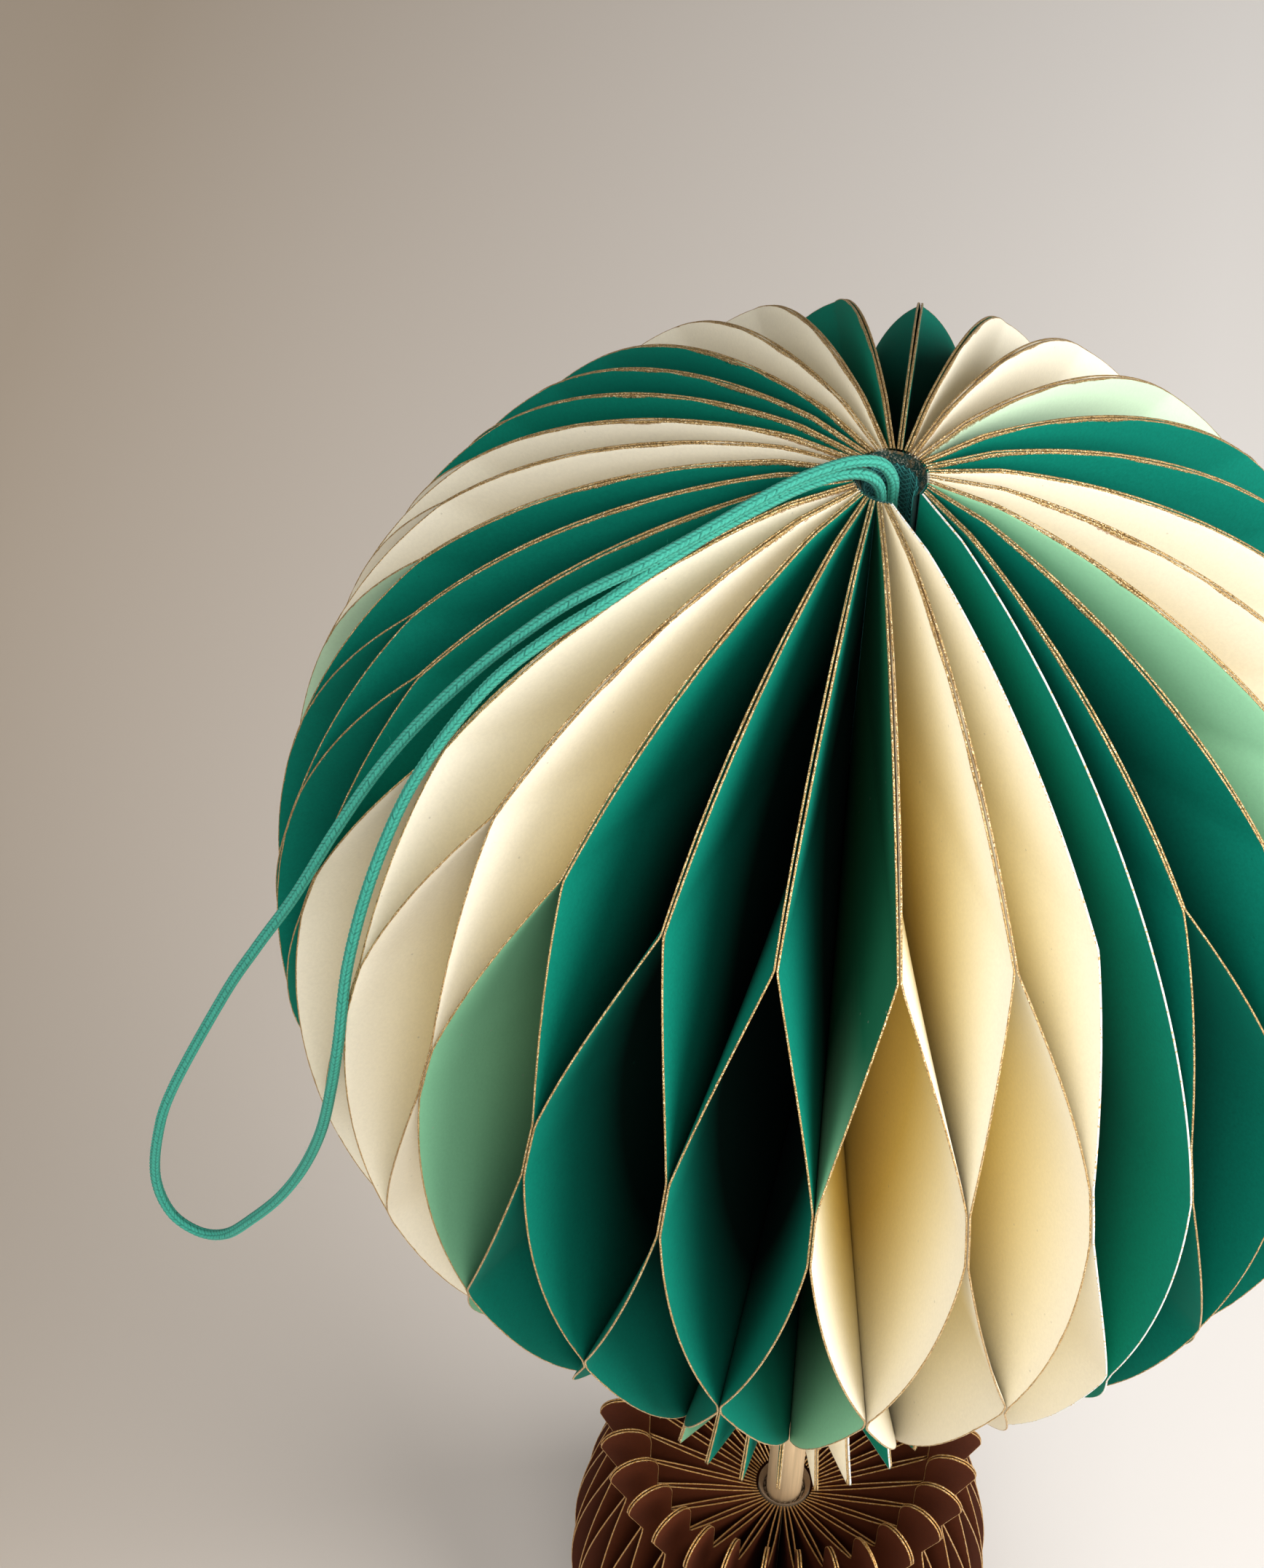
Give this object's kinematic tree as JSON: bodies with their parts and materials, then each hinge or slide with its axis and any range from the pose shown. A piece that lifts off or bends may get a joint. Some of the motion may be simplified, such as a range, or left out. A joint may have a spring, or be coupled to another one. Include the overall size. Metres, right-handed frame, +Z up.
{
  "type": "paper ball ornament",
  "caption": "Hanging paper ornament: a striped ball of glued, fanned-out leaves with gilt rims and a flared mouth, over a small leaf basket on the same stick.",
  "frame": {"origin": "middle of the basket's underside, on the stick's axis", "axes": "+Z up along the stick, -Y towards the viewer of the picture"},
  "size_m": [0.1425, 0.1296, 0.2529],
  "materials": {
    "green_paper": "matt coloured card with gilt glitter rims",
    "cream_paper": "matt cream card with gilt glitter rims",
    "brown_paper": "matt dark brown card with gilt rims",
    "gauze": "open woven gauze set in glue",
    "wood": "plain turned stick",
    "cord": "braided cotton, slightly fuzzy"
  },
  "bodies": {
    "root": {"green_leaves_1": "green_paper", "green_leaves_2": "green_paper", "green_leaves_3": "green_paper", "green_leaves_4": "green_paper", "green_leaves_5": "green_paper", "green_leaves_6": "green_paper", "cream_leaves_1": "cream_paper", "cream_leaves_2": "cream_paper", "cream_leaves_3": "cream_paper", "cream_leaves_4": "cream_paper", "cream_leaves_5": "cream_paper", "cream_leaves_6": "cream_paper", "basket_leaves_1": "brown_paper", "basket_leaves_2": "brown_paper", "basket_leaves_3": "brown_paper", "basket_leaves_4": "brown_paper", "basket_leaves_5": "brown_paper", "basket_leaves_6": "brown_paper", "ball_spine": "gauze", "basket_spine": "gauze", "centre_stick": "wood", "hanging_cord": "cord"}
  },
  "joints": []
}
